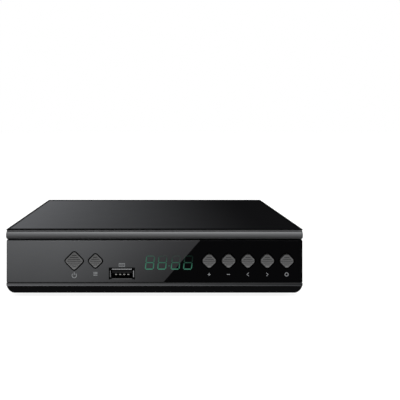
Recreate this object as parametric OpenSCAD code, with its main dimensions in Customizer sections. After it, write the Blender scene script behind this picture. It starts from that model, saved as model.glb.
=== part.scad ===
// Terrestrial television receiver: a folded steel case with a moulded front,
// seven sprung diamond keys, a four-digit display and a USB socket.
// Millimetres, +Z up, front towards -Y, origin under the middle of the whole object.

/* [Case] */
// Width of the front panel
panel_w = 165; // [160:1:180]
// Height of the front panel, without the feet
panel_h = 34.85; // [34.6:0.05:38]
// Depth from the window's face to the outside of the rear panel
body_d = 101; // [101:1:130]
// Thickness of the steel sheet
sheet_t = 0.9; // [0.7:0.1:1]
// Outside radius of the folds in the sheet
fold_r = 1.2; // [1.1:0.1:1.6]
// How far the cover stands above the front panel
cover_rise = 1.3; // [1.05:0.05:1.5]
// How far the edge of the cover's top lies behind the front of the bar
cover_lip = 0.1; // [0.1:0.1:2]
// Height of the rubber feet
foot_h = 2.5; // [2:0.5:4]
// Radius of a rubber foot
foot_r = 6; // [4:0.5:7]

/* [Front panel] */
// Height of the black chin
chin_h = 3.8; // [3.5:0.05:4]
// Radius of the chin's lower corners
corner_r = 5.1; // [5.1:0.1:7]
// Distance from the panel's end at which a lower corner starts to curve
corner_in = 5.1; // [4:0.1:5.1]
// Height of the trim strip above the chin
strip_h = 1.95; // [1.6:0.05:2.1]
// Height of the groove below the window
lower_groove = 0.35; // [0.2:0.05:0.6]
// Height of the groove above the window
upper_groove = 0.5; // [0.3:0.05:0.8]
// Thickness of the window
window_t = 1.6; // [1.2:0.1:2]
// Radius of the half-round bar along the top
bar_r = 2.5; // [2.2:0.1:2.6]
// Wall thickness of the bezel
bezel_t = 1.8; // [1.5:0.1:2]

/* [Keys] */
// Height of the key centres above the panel's lower edge
key_z = 17.85; // [17:0.05:18.5]
// Power key, tip to tip
power_tip = 9.8; // [8:0.1:10]
// Menu key, tip to tip
menu_tip = 7.5; // [7:0.1:8.2]
// Each of the five keys on the right, tip to tip
nav_tip = 8.1; // [7:0.1:8.4]
// Radius of a key's corners
key_corner_r = 1.3; // [0.8:0.1:1.6]
// Power key, from the middle of the panel
power_x = -44.75; // [-47:0.05:-43.5]
// Menu key, from the middle of the panel
menu_x = -32.95; // [-33.2:0.05:-32]
// First of the five keys on the right, from the middle of the panel
nav_x = 30.45; // [30:0.05:31.5]
// Spacing of the five keys
nav_pitch = 10.8; // [10.6:0.02:11]
// How far a key stands out of the window
key_proud = 0.5; // [0.2:0.1:0.7]
// How far a key travels
key_travel = 0.5; // [0.2:0.1:0.6]
// Gap between a key and the window
key_gap = 0.6; // [0.4:0.05:0.7]

/* [Display] */
// Middle of the display, from the middle of the panel
display_x = 8.1; // [7.5:0.05:9]
// Middle of the display above the panel's lower edge
display_z = 16.95; // [16.4:0.05:17.6]
// Height of a digit between the middles of its end segments
digit_h = 7.25; // [6:0.05:8]
// Width of a digit between the middles of its side segments
digit_w = 4.4; // [3.5:0.1:4.6]
// Width of a lit segment
segment_w = 0.6; // [0.4:0.05:0.9]
// Slant of the digits in degrees
digit_slant = 6; // [0:1:10]

/* [Front socket] */
// Middle of the USB socket, from the middle of the panel
usb_x = -18.2; // [-19:0.05:-17.5]
// Middle of the USB socket above the panel's lower edge
usb_z = 10.6; // [10.2:0.05:10.9]

/* [Rear sockets] */
// How far the aerial and phono sockets stand out of the rear panel
jack_reach = 9; // [8:0.5:10]
// Aerial input, from the middle of the panel
rf_in_x = -66; // [-68:1:-64]
// Aerial output, from the middle of the panel
rf_loop_x = -48; // [-50:1:-46]
// HDMI socket, from the middle of the panel
hdmi_x = -18; // [-20:1:-16]
// Middle one of the phono sockets, from the middle of the panel
rca_x = 20; // [18:1:22]
// Spacing of the phono sockets
rca_pitch = 14; // [13:0.5:14]
// Supply inlet, from the middle of the panel
dc_x = 64; // [62:1:65]

/* [Hidden] */
$fn = 48;
fit = 0.1;

// Depths are measured back from the window's face, heights up from the panel's lower edge
bar_front = window_t - bar_r;
wall_back = window_t + bezel_t;
rear_front = body_d - sheet_t;
jack_end = body_d + jack_reach;
face_y = -(bar_front + jack_end) / 2;

strip_top = chin_h + strip_h;
window_z0 = strip_top + lower_groove;
bar_z0 = panel_h - 2 * bar_r;
window_z1 = bar_z0 - upper_groove;
chin_front = 0.1;
chin_round = 0.4;

// Steel case
cover_w = panel_w;
cover_front = wall_back + 0.2;
lip_front = bar_front + cover_lip;
cover_z0 = 2;
cover_z1 = panel_h + cover_rise;
cover_under = cover_z1 - sheet_t;
rear_lip_h = 8;
rear_lip_inset = 3;
tray_w = cover_w - 2 * sheet_t - 2 * fit;
tray_front = 9.2;
flange_front = 15;
flange_h = 9;
vent_w = 2.2;
vent_len = 16;
vent_pitch = 4.4;
vent_count = 11;
floor_vent_len = 24;
floor_vent_count = 10;

// Bezel walls
bezel_depth = 14;
bezel_w = cover_w - 2 * sheet_t;
shelf_under = cover_under - bezel_t;
lip_top = sheet_t + 1.7;
lip_end = 20;
lip_w = 150;
chin_floor_t = 1.8;
chin_depth = 9;
rib_t = 1.2;
shelf_rib = [9.6, 3.5];
lip_rib = [4, 2.8];
rib_places = [-74, -46, -18, 10, 38, 74];

// Keys and switches
flange_t = 0.8;
flange_over = 0.9;
key_guide_gap = 0.3;
key_bevel = 0.35;
key_land = 0.7;
groove_pitch = 1.05;
groove_w = 0.4;
groove_depth = 0.25;
flange_v0 = wall_back + fit;
flange_v1 = flange_v0 + flange_t;
board_front = 9.6;
board_t = 1.6;
board_back = board_front + board_t;
switch_side = 6;
switch_h = 3.5;
switch_front = board_front - switch_h;
plunger_r = 1.7;
plunger_clear = 0.25;
plunger_in = 1.1;
key_names = ["plus", "minus", "left", "right", "ok"];
KEYS = concat(
    [["power", power_x, power_tip], ["menu", menu_x, menu_tip]],
    [for (i = [0 : 4]) [key_names[i], nav_x + i * nav_pitch, nav_tip]]
);

// Front board and what stands on it
front_board_x = [-56, 79];
front_board_z = [8.6, 28.6];
post_z = 25.5;
post_r = 2.4;
post_places = [-52, -26, nav_x + nav_pitch / 2, nav_x + 3.5 * nav_pitch];
display_body = [27, 7.7, 13];
display_clear = 0.3;
digit_t = 0.2;
digit_pitch = 6.9;
pair_gap = 0.6;
collar_t = 1;
collar_end = 8;
ir_x = -12.5;
ir_z = 23;
ir_body = [5, 4, 5];
ir_dome_r = 2.2;
ir_hole_r = 2.8;

// Standard USB, HDMI, phono, aerial and supply sockets
usb_out = [13.1, 5.7];
usb_in = [12.5, 5.1];
usb_depth = 14;
usb_front = 0.2;
usb_gap = 0.4;
usb_tongue_w = 11.1;
usb_tongue_t = 1.84;
usb_tongue_front = 1.6;
usb_block_front = 11;
usb_contact_w = 1;
usb_contact_t = 0.3;
usb_contact_bow = 1;
usb_contact_pitch = 2.3;
usb_flare = 0.25;
usb_flare_t = 0.3;
usb_notch = [1.5, 1.2];
hdmi_out = [15, 5.6];
hdmi_shell_t = 0.45;
hdmi_depth = 11;
hdmi_cut = 1.9;
rca_r = 4.15;
rca_bore = 3.6;
rca_pin_hole = 1.65;
rca_block = [43, 12, 14.2];
rf_r = 4.75;
rf_bore = 4.2;
rf_socket_r = 6.2;
rf_pin_r = 1.15;
rf_contact_r = 1.75;
rf_base_t = 3;
dc_body = [9, 14.2, 11];
dc_bore = 3.2;
dc_pin_r = 1.05;
dc_proud = 0.3;
panel_clear = 0.4;

// Main board and what stands on it
deck = usb_z - usb_out[1] / 2;
main_board_w = 144;
main_board_front = 8.5;
main_board_back = rear_front - 3;
tuner_x = [-76, -38];
tuner_front = 66;
tuner_h = 13.7;
can_t = 0.8;
tuner_back = rear_front - 0.2;
rf_z = deck + 6.85;
rca_z = deck + 7;
hdmi_z = deck + hdmi_out[1] / 2;
dc_z = deck + 6;
chip_at = [8, 50];
chip_side = 21;
chip_h = 1.4;
sink_side = 23;
sink_base = 2;
sink_h = 9;
fin_count = 8;
fin_t = 1.1;
memory_at = [38, 52];
memory_size = [9, 14, 1.1];
// Each capacitor: place across, depth, radius, height
capacitors = [[58, 78, 4, 11], [47, 72, 4, 11], [58, 62, 3.2, 9], [-22, 70, 3.2, 9], [-22, 56, 2.5, 7]];
coil_at = [64, 46];
coil_r = 5;
coil_waist = 3.6;
coil_h = 6;
ribbon_x = 52.5;
ribbon_w = 15;
ribbon_t = 0.8;
ribbon_r = 10;
header_w = 18;
header_top = deck + 5.1;
header_reach = 3;

// Fasteners and feet
screw_r = 1.45;
screw_hole = 1.7;
thread_hole = 1.5;
head_r = 2.7;
head_h = 1.5;
small_screw_r = 1.1;
small_head_r = 2.1;
cover_screw_places = [-60, 0, 60];
cover_screw_z = cover_z1 - 4.5;
bezel_screw_places = [-45, 0, 45];
bezel_screw_v = 15;
boss_r = 3.5;
boss_top = 5.2;
standoff_r = 2.6;
standoff_places = [[-66, 24], [66, 24], [-31, 90], [50.5, 90]];
foot_x = 66;
foot_front_v = 19;
foot_rear_v = 88;

// Moves to the middle of the window's lower front edge: X across, Y back, Z up
module at_face() {
    translate([0, face_y, foot_h]) children();
}

// A box from its ranges across, back and up
module slab(x, v, z) {
    translate([x[0], v[0], z[0]]) cube([x[1] - x[0], v[1] - v[0], z[1] - z[0]]);
}

// Extrudes an outline drawn across and up, from one depth to another
module through(v0, v1) {
    translate([0, v1, 0]) rotate([90, 0, 0]) linear_extrude(v1 - v0) children();
}

// Extrudes a section drawn back and up, from one place across to another
module along(x0, x1) {
    translate([x0, 0, 0]) rotate([90, 0, 90]) linear_extrude(x1 - x0) children();
}

// A cylinder that runs back from one depth to another
module rod(x, z, r, v0, v1) {
    translate([x, v0, z]) rotate([-90, 0, 0]) cylinder(r = r, h = v1 - v0);
}

// A tube that runs back from one depth to another
module tube(x, z, r, bore, v0, v1) {
    difference() {
        rod(x, z, r, v0, v1);
        rod(x, z, bore, v0 - 1, v1 + 1);
    }
}

module rounded_rect(w, h, r) {
    square([w - 2 * r, h], center = true);
    square([w, h - 2 * r], center = true);
    for (x = [-1, 1], y = [-1, 1]) translate([x * (w / 2 - r), y * (h / 2 - r)]) circle(r);
}

// Side of a square with rounded corners that measures tip across its corners, to the nearest
// 0.02 mm so that the arcs and the straight sides meet exactly
function diamond_side(tip, r) = round(100 * ((tip / 2 - r) / sqrt(2) + r)) / 50;

// A square on its corner with rounded tips
module diamond(tip, r) {
    side = diamond_side(tip, r);
    rotate(45) rounded_rect(side, side, r);
}

// A key's outline in its place, grown on every side
module key_outline(key, grow = 0) {
    translate([key[1], key_z]) diamond(key[2] + 2 * grow, key_corner_r + grow);
}

// The front panel from the front, with its lower corners curved
module panel_outline() {
    flat_w = panel_w - 2 * corner_in;
    arc_top = corner_r - sqrt(corner_r * corner_r - corner_in * corner_in);
    translate([-panel_w / 2, arc_top]) square([panel_w, panel_h - arc_top]);
    translate([-flat_w / 2, 0]) square([flat_w, panel_h]);
    for (side = [-1, 1]) translate([side * flat_w / 2, corner_r]) intersection() {
        circle(corner_r);
        translate([side * corner_in / 2, -corner_r / 2]) square([corner_in, corner_r], center = true);
    }
}

// A hood from the front: square below, folded above
module hood_outline(w, z0, z1, r) {
    translate([-w / 2, z0]) square([w, z1 - r - z0]);
    translate([r - w / 2, z0]) square([w - 2 * r, z1 - z0]);
    for (side = [-1, 1]) translate([side * (w / 2 - r), z1 - r]) circle(r);
}

// A slot with round ends, standing up
module upright_slot(w, len) {
    square([w, len - w], center = true);
    for (end = [-1, 1]) translate([0, end * (len - w) / 2]) circle(w / 2);
}

module usb_cutout() {
    translate([usb_x, usb_z]) rounded_rect(usb_out[0] + 2 * usb_gap, usb_out[1] + 2 * usb_gap, 0.8);
}

module hdmi_outline(grow = 0) {
    w = hdmi_out[0] / 2 + grow;
    h = hdmi_out[1] / 2 + grow;
    cut = hdmi_cut;
    translate([hdmi_x, hdmi_z])
        polygon([[-w, h], [-w, cut - h], [cut - w, -h], [w - cut, -h], [w, cut - h], [w, h]]);
}

// Chin of the bezel in section, round below
module chin_section() {
    intersection() {
        translate([chin_front + chin_round, chin_round]) circle(chin_round);
        translate([chin_front, 0]) square(chin_round);
    }
    translate([chin_front, chin_round]) square([wall_back - chin_front, chin_h - chin_round]);
    translate([chin_front + chin_round, 0]) square([chin_depth - chin_front - chin_round, chin_floor_t]);
    translate([chin_front + chin_round, 0]) square([wall_back - chin_front - chin_round, chin_h]);
}

// Gusset between the bezel's wall and a shelf, drawn from their corner
module gusset(reach, rise) {
    polygon([[0, 0], [reach, 0], [0, rise]]);
}

module front_bezel() {
    display_hole = [display_body[0] + 2 * display_clear, display_body[2] + 2 * display_clear];
    color("#101011") at_face() difference() {
        union() {
            intersection() {
                union() {
                    along(-panel_w / 2, panel_w / 2) chin_section();
                    through(window_t, wall_back) translate([-panel_w / 2, 0]) square([panel_w, panel_h]);
                }
                through(0, chin_depth) panel_outline();
            }
            // Top shelf and side walls that carry the cover, and the lip that lies on the tray
            through(wall_back - fit, bezel_depth) difference() {
                hood_outline(bezel_w, chin_h, cover_under, fold_r - sheet_t);
                hood_outline(bezel_w - 2 * bezel_t, chin_h - 1, shelf_under, fold_r - sheet_t);
            }
            slab([-lip_w / 2, lip_w / 2], [wall_back - fit, lip_end], [sheet_t, lip_top]);
            for (x = bezel_screw_places)
                translate([x, bezel_screw_v, sheet_t]) cylinder(r = boss_r, h = boss_top - sheet_t);
            for (x = rib_places) along(x - rib_t / 2, x + rib_t / 2) {
                translate([wall_back, shelf_under]) mirror([0, 1]) gusset(shelf_rib[0], shelf_rib[1]);
                translate([wall_back, lip_top]) gusset(lip_rib[0], lip_rib[1]);
            }
            for (x = post_places) rod(x, post_z, post_r, wall_back - fit, board_front);
            // Light box round the display
            translate([display_x, 0, display_z]) through(wall_back - fit, collar_end)
                square([display_hole[0] + 2 * collar_t, display_hole[1] + 2 * collar_t], center = true);
        }
        for (k = KEYS) through(0, wall_back + 1) key_outline(k, key_guide_gap);
        through(0, bezel_depth) usb_cutout();
        translate([display_x, 0, display_z]) through(0, bezel_depth) square(display_hole, center = true);
        rod(ir_x, ir_z, ir_hole_r, 0, bezel_depth);
        for (x = post_places) rod(x, post_z, small_screw_r + 0.05, wall_back + 1, board_front + 1);
        for (x = bezel_screw_places)
            translate([x, bezel_screw_v, 0]) cylinder(r = thread_hole, h = boss_top - 0.6);
    }
}

module front_window() {
    edge_r = 0.5;
    z0 = window_z0 + edge_r;
    z1 = window_z1 - edge_r;
    color("#2a2a2c") at_face() difference() {
        along(-panel_w / 2, panel_w / 2) {
            translate([edge_r, window_z0]) square([window_t - edge_r, window_z1 - window_z0]);
            translate([0, z0]) square([window_t, z1 - z0]);
            for (z = [z0, z1]) translate([edge_r, z]) circle(edge_r);
        }
        for (k = KEYS) through(-1, window_t + 1) key_outline(k, key_gap);
        through(-1, window_t + 1) usb_cutout();
    }
}

module top_trim_bar() {
    color("#5f6062") at_face() along(-panel_w / 2, panel_w / 2) intersection() {
        translate([window_t, bar_z0 + bar_r]) circle(bar_r);
        translate([bar_front, bar_z0]) square([bar_r, 2 * bar_r]);
    }
}

module lower_trim_strip() {
    front = -0.3;
    edge_r = 0.5;
    color("#4a4b4d") at_face() intersection() {
        along(-panel_w / 2, panel_w / 2) {
            translate([front + edge_r, chin_h]) square([window_t - front - edge_r, strip_h]);
            translate([front, chin_h + edge_r]) square([edge_r, strip_h - 2 * edge_r]);
            for (z = [chin_h + edge_r, strip_top - edge_r]) translate([front + edge_r, z]) circle(edge_r);
        }
        through(front - 1, window_t + 1) panel_outline();
    }
}

module side_vents() {
    first = (cover_front + rear_front) / 2 - vent_pitch * (vent_count - 1) / 2;
    for (i = [0 : vent_count - 1])
        translate([first + i * vent_pitch, (flange_h + cover_z1) / 2 - 2]) upright_slot(vent_w, vent_len);
}

module top_cover() {
    fold_in = fold_r - sheet_t;
    inner_w = cover_w - 2 * sheet_t;
    fold_v = rear_front - fold_r;
    color("#232426") at_face() difference() {
        union() {
            through(cover_front, fold_v) difference() {
                hood_outline(cover_w, cover_z0, cover_z1, fold_r);
                hood_outline(inner_w, cover_z0 - 1, cover_under, fold_in);
            }
            // Front lip of the top sheet, over the front panel
            through(lip_front, cover_front) intersection() {
                hood_outline(cover_w, cover_z0, cover_z1, fold_r);
                translate([-cover_w / 2, cover_under]) square([cover_w, sheet_t]);
            }
            for (side = [-1, 1]) translate([side * (cover_w - sheet_t) / 2, 0, 0])
                slab([-sheet_t / 2, sheet_t / 2], [fold_v - fit, rear_front], [cover_z0, cover_z1 - fold_r]);
            // Rear lip, folded down inside the rear panel
            along(rear_lip_inset - cover_w / 2, cover_w / 2 - rear_lip_inset) {
                translate([fold_v, cover_z1 - fold_r]) intersection() {
                    difference() {
                        circle(fold_r);
                        circle(fold_in);
                    }
                    square(fold_r);
                }
                translate([rear_front - sheet_t, cover_z1 - rear_lip_h])
                    square([sheet_t, rear_lip_h - fold_r]);
                translate([fold_v - fit, cover_under]) square([fit, sheet_t]);
            }
        }
        along(-panel_w, panel_w) side_vents();
        for (x = cover_screw_places) rod(x, cover_screw_z, thread_hole, rear_front - 3, rear_front + 1);
    }
}

// Openings of the rear panel, each a little larger than its socket
module rear_openings() {
    translate([rf_in_x, rf_z]) circle(rf_socket_r + panel_clear);
    translate([rf_loop_x, rf_z]) circle(rf_socket_r + panel_clear);
    hdmi_outline(panel_clear);
    for (i = [-1 : 1]) translate([rca_x + i * rca_pitch, rca_z]) circle(rca_r + panel_clear);
    translate([dc_x - dc_body[0] / 2 - panel_clear, deck - panel_clear])
        square([dc_body[0] + 2 * panel_clear, dc_body[2] + 2 * panel_clear]);
    for (x = cover_screw_places) translate([x, cover_screw_z]) circle(screw_hole);
}

module base_tray() {
    fold_in = fold_r - sheet_t;
    color("#8d9093") at_face() difference() {
        union() {
            // Floor with its side flanges, folded up
            through(flange_front, rear_front - fold_r) difference() {
                mirror([0, 1]) hood_outline(tray_w, -flange_h, 0, fold_r);
                mirror([0, 1]) hood_outline(tray_w - 2 * sheet_t, -flange_h - 1, -sheet_t, fold_in);
            }
            slab([1 - tray_w / 2, tray_w / 2 - 1], [tray_front, flange_front + fit], [0, sheet_t]);
            // Rear panel, folded up
            along(1 - tray_w / 2, tray_w / 2 - 1) translate([body_d - fold_r, fold_r]) {
                intersection() {
                    difference() {
                        circle(fold_r);
                        circle(fold_in);
                    }
                    translate([0, -fold_r]) square(fold_r);
                }
                translate([-fold_r, -fold_r]) square([fold_r, sheet_t]);
            }
            through(rear_front, body_d) translate([-cover_w / 2, fold_r]) square([cover_w, panel_h - fold_r]);
        }
        through(rear_front - 1, body_d + 1) rear_openings();
        for (i = [0 : floor_vent_count - 1])
            translate([chip_at[0] + (i - (floor_vent_count - 1) / 2) * vent_pitch, chip_at[1], -1])
                linear_extrude(sheet_t + 2) upright_slot(vent_w, floor_vent_len);
        for (x = bezel_screw_places)
            translate([x, bezel_screw_v, -1]) cylinder(r = screw_hole, h = sheet_t + 2);
    }
}

module foot(side, v) {
    color("#0d0d0d") at_face() translate([side * foot_x, v, -foot_h]) {
        cylinder(r1 = foot_r - 0.6, r2 = foot_r, h = foot_h - 0.8);
        translate([0, 0, foot_h - 0.8]) cylinder(r = foot_r, h = 0.8);
    }
}

module foot_front_left() { foot(-1, foot_front_v); }
module foot_front_right() { foot(1, foot_front_v); }
module foot_rear_left() { foot(-1, foot_rear_v); }
module foot_rear_right() { foot(1, foot_rear_v); }

// A pan-head screw along Z, its head below
module pan_screw(r, len, head) {
    cylinder(r = r, h = len);
    translate([0, 0, -head_h]) difference() {
        union() {
            translate([0, 0, 0.5]) cylinder(r = head, h = head_h - 0.5);
            cylinder(r1 = head - 0.6, r2 = head, h = 0.5);
        }
        for (turn = [0, 90]) rotate(turn) translate([0, 0, 0.3]) cube([head * 1.1, 0.7, 0.8], center = true);
    }
}

module cover_screws() {
    color("#1b1b1c") at_face() for (x = cover_screw_places)
        translate([x, body_d, cover_screw_z]) rotate([90, 0, 0]) pan_screw(screw_r, 4, head_r);
}

module bezel_screws() {
    color("#9a9c9e") at_face() for (x = bezel_screw_places)
        translate([x, bezel_screw_v, 0]) pan_screw(screw_r, boss_top - 1.2, head_r);
}

module board_standoffs() {
    color("#b3b5b8") at_face() for (p = standoff_places) translate([p[0], p[1], sheet_t]) difference() {
        cylinder(r = standoff_r, h = deck - board_t - sheet_t, $fn = 6);
        translate([0, 0, 0.6]) cylinder(r = small_screw_r + 0.05, h = deck);
    }
}

module main_board_screws() {
    color("#9a9c9e") at_face() for (p = standoff_places)
        translate([p[0], p[1], deck]) rotate([180, 0, 0]) pan_screw(small_screw_r, 4.5, small_head_r);
}

module front_board_screws() {
    color("#9a9c9e") at_face() for (x = post_places)
        translate([x, board_back, post_z]) rotate([90, 0, 0]) pan_screw(small_screw_r, 5, small_head_r);
}

module front_board() {
    color("#1d5a34") at_face() difference() {
        slab(front_board_x, [board_front, board_back], front_board_z);
        slab([usb_x - 8, usb_x + 8], [0, board_back + 1], [0, usb_z + usb_out[1] / 2 + 1]);
        for (x = post_places) rod(x, post_z, small_screw_r + 0.2, 0, board_back + 1);
    }
}

module switch_housings() {
    well = switch_front + plunger_in + key_travel + 0.4;
    color("#161616") at_face() for (k = KEYS) translate([k[1], 0, key_z]) difference() {
        through(switch_front, board_front) rounded_rect(switch_side, switch_side, 0.4);
        rod(0, 0, plunger_r + plunger_clear, switch_front - 1, well);
    }
}

module plunger(key) {
    color("#c8c8c4") at_face() rod(key[1], key_z, plunger_r, flange_v1, switch_front + plunger_in);
}

// The bevelled rim and face of a key, rising from a square with rounded corners
module bevelled_square(side, r, bevel) {
    run = side - 2 * r;
    for (turn = [0, 90]) rotate([90, 0, turn]) linear_extrude(run, center = true)
        polygon([[-side / 2, 0], [side / 2, 0], [side / 2 - bevel, bevel], [bevel - side / 2, bevel]]);
    for (x = [-1, 1], y = [-1, 1])
        translate([x * run / 2, y * run / 2, 0]) cylinder(r1 = r, r2 = r - bevel, h = bevel);
}

// Finger grooves of a key, across its face and inside its rim
module key_grooves(key) {
    half = key[2] / 2;
    last = floor((half - key_corner_r - groove_w / 2) / groove_pitch);
    intersection() {
        through(-key_proud - 1, groove_depth - key_proud) key_outline(key, -key_land);
        for (i = [-last : last]) translate([key[1], 0, key_z + i * groove_pitch])
            slab([-half, half], [-key_proud - 2, key_travel], [-groove_w / 2, groove_w / 2]);
    }
}

// A key cap: grooved face, shank through window and bezel, flange that keeps it in
module key(key) {
    rim = key_bevel - key_proud;
    color("#4b4c4e") at_face() difference() {
        union() {
            translate([key[1], rim, key_z]) rotate([90, 0, 0])
                rotate(45) bevelled_square(diamond_side(key[2], key_corner_r), key_corner_r, key_bevel);
            through(rim, flange_v1) key_outline(key);
            through(flange_v0, flange_v1) key_outline(key, flange_over);
        }
        key_grooves(key);
    }
}

module led_display() {
    color("#17181a") at_face() translate([display_x, board_front, display_z])
        through(-display_body[1], 0) rounded_rect(display_body[0], display_body[2], 0.5);
}

// One bar of a digit, pointed at both ends, leaning with the digit
module segment(at, len, upright) {
    w = segment_w / 2;
    tip = len / 2 - 0.15;
    ends = [[-tip, 0], [w - tip, w], [tip - w, w], [tip, 0], [tip - w, -w], [w - tip, -w]];
    lean = tan(digit_slant);
    polygon([for (p = ends) let (q = at + (upright ? [p[1], p[0]] : p)) [q[0] + q[1] * lean, q[1]]]);
}

module digit() {
    for (level = [-1, 0, 1]) segment([0, level * digit_h / 2], digit_w, false);
    for (side = [-1, 1], half = [-1, 1]) segment([side * digit_w / 2, half * digit_h / 4], digit_h / 2, true);
}

module display_digits() {
    face = board_front - display_body[1];
    color("#35d06a") at_face() translate([display_x, 0, display_z]) through(face - digit_t, face) {
        for (i = [-1.5 : 1.5]) translate([i * digit_pitch + sign(i) * pair_gap / 2, 0]) digit();
        translate([0, -digit_h / 4]) circle(segment_w / 2);
    }
}

module ir_receiver() {
    front = board_front - ir_body[1];
    color("#2a1a1c") at_face() translate([ir_x, 0, ir_z]) {
        through(front, board_front) square([ir_body[0], ir_body[2]], center = true);
        intersection() {
            translate([0, front, 0]) sphere(ir_dome_r);
            slab([-ir_dome_r, ir_dome_r], [front - ir_dome_r, front + fit], [-ir_dome_r, ir_dome_r]);
        }
    }
}

// The sheet shell of the USB socket, with four flared lips and open corners at its mouth
module usb_shell() {
    back = usb_front + usb_depth;
    color("#c9cbcd") at_face() translate([usb_x, 0, usb_z]) difference() {
        union() {
            through(usb_front, back) rounded_rect(usb_out[0], usb_out[1], 0.6);
            through(usb_front, usb_front + usb_flare_t)
                square([usb_out[0] + 2 * usb_flare, usb_out[1] + 2 * usb_flare], center = true);
        }
        through(usb_front - 1, back + 1) square(usb_in, center = true);
        for (x = [-1, 1], z = [-1, 1]) translate([x * usb_in[0] / 2, 0, z * usb_in[1] / 2])
            through(usb_front - 1, usb_front + usb_notch[1]) square(usb_notch[0], center = true);
    }
}

module usb_tongue() {
    w = usb_tongue_w / 2;
    color("#0c0c0c") at_face() translate([usb_x, 0, usb_z]) {
        through(usb_block_front, usb_front + usb_depth) square(usb_in, center = true);
        slab([-w, w], [usb_tongue_front, usb_block_front + fit], [0, usb_tongue_t]);
    }
}

// Four sprung strips under the tongue, bowed down near their front ends
module usb_contacts() {
    w = usb_contact_w / 2;
    front = usb_tongue_front + 0.3;
    low = -usb_contact_bow;
    strip = -usb_contact_t;
    bow = [[front, strip], [front + 0.8, low], [front + 1.6, low], [front + 3.6, strip]];
    color("#d9b45a") at_face() translate([usb_x, 0, usb_z])
        for (i = [-1.5 : 1.5]) translate([i * usb_contact_pitch, 0, 0]) along(-w, w)
            polygon(concat([[front, 0]], bow, [[usb_block_front, strip], [usb_block_front, 0]]));
}

module ribbon_headers() {
    color("#e4e2d8") at_face() {
        slab(
            [ribbon_x - header_w / 2, ribbon_x + header_w / 2],
            [board_back + header_reach + ribbon_r - 2.5, board_back + header_reach + ribbon_r + 2.5],
            [deck, header_top]
        );
        slab(
            [ribbon_x - header_w / 2, ribbon_x + header_w / 2],
            [board_back, board_back + header_reach],
            [header_top + ribbon_r - 2.5, header_top + ribbon_r + 2.5]
        );
    }
}

module front_ribbon() {
    color("#8f9296") at_face() along(ribbon_x - ribbon_w / 2, ribbon_x + ribbon_w / 2)
        translate([board_back + header_reach, header_top]) intersection() {
            difference() {
                circle(ribbon_r + ribbon_t / 2);
                circle(ribbon_r - ribbon_t / 2);
            }
            square(ribbon_r + ribbon_t);
        }
}

module main_board() {
    w = main_board_w / 2;
    color("#1d5a34") at_face() difference() {
        slab([-w, w], [main_board_front, main_board_back], [deck - board_t, deck]);
        for (p = standoff_places) translate([p[0], p[1], 0]) cylinder(r = small_screw_r + 0.2, h = deck + 1);
    }
}

module main_chip() {
    color("#1a1a1b") at_face() translate([chip_at[0], chip_at[1], deck])
        linear_extrude(chip_h) rounded_rect(chip_side, chip_side, 0.5);
}

module heat_sink() {
    fin_pitch = (sink_side - fin_t) / (fin_count - 1);
    color("#9fa2a5") at_face() translate([chip_at[0], chip_at[1], deck + chip_h]) {
        slab([-sink_side / 2, sink_side / 2], [-sink_side / 2, sink_side / 2], [0, sink_base]);
        for (i = [0 : fin_count - 1]) translate([i * fin_pitch - sink_side / 2, 0, 0])
            slab([0, fin_t], [-sink_side / 2, sink_side / 2], [sink_base - fit, sink_h]);
    }
}

module memory_chip() {
    color("#1a1a1b") at_face() translate([memory_at[0], memory_at[1], deck])
        linear_extrude(memory_size[2]) rounded_rect(memory_size[0], memory_size[1], 0.3);
}

module filter_capacitors() {
    color("#20242c") at_face() for (c = capacitors)
        translate([c[0], c[1], deck]) rotate_extrude() difference() {
            square([c[2], c[3]]);
            translate([c[2] + 0.3, 1.6]) circle(0.6);
        }
}

module power_coil() {
    color("#3a3a3c") at_face() translate([coil_at[0], coil_at[1], deck]) rotate_extrude() {
        square([coil_waist, coil_h]);
        square([coil_r, 1.2]);
        translate([0, coil_h - 1.2]) square([coil_r, 1.2]);
    }
}

module tuner_can() {
    mid = (tuner_x[0] + tuner_x[1]) / 2;
    w = tuner_x[1] - tuner_x[0];
    wall = [can_t, -can_t];
    color("#a7aaad") at_face() difference() {
        slab(tuner_x, [tuner_front, tuner_back], [deck, deck + tuner_h]);
        slab(tuner_x + wall, [tuner_front, tuner_back] + wall, [deck - 1, deck + tuner_h - can_t]);
        // Step of the pressed lid
        for (side = [-1, 1]) translate([mid + side * w / 2, 0, deck + tuner_h - 2])
            slab([-can_t / 2, can_t / 2], [tuner_front - 1, tuner_back + 1], [0, 3]);
    }
}

module rf_in_socket() {
    color("#c4c6c8") at_face() tube(rf_in_x, rf_z, rf_socket_r, rf_r + 0.05, tuner_back, jack_end);
}

module rf_in_contact() {
    color("#d9b45a") at_face() difference() {
        rod(rf_in_x, rf_z, rf_contact_r, tuner_back, jack_end - 2);
        rod(rf_in_x, rf_z, rf_pin_r + 0.05, body_d, jack_end);
    }
}

module rf_loop_plug() {
    color("#c4c6c8") at_face() difference() {
        union() {
            rod(rf_loop_x, rf_z, rf_socket_r, tuner_back, tuner_back + rf_base_t);
            rod(rf_loop_x, rf_z, rf_r, tuner_back, jack_end);
        }
        rod(rf_loop_x, rf_z, rf_bore, tuner_back - 1, jack_end + 1);
    }
}

module rf_loop_pin() {
    color("#d9b45a") at_face() {
        rod(rf_loop_x, rf_z, rf_pin_r, tuner_back, jack_end - 1.5);
        translate([rf_loop_x, jack_end - 1.5, rf_z]) rotate([-90, 0, 0])
            cylinder(r1 = rf_pin_r, r2 = 0.5, h = 0.8);
    }
}

module hdmi_shell() {
    color("#c9cbcd") at_face() through(body_d + 0.4 - hdmi_depth, body_d + 0.4) difference() {
        hdmi_outline();
        hdmi_outline(-hdmi_shell_t);
    }
}

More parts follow.
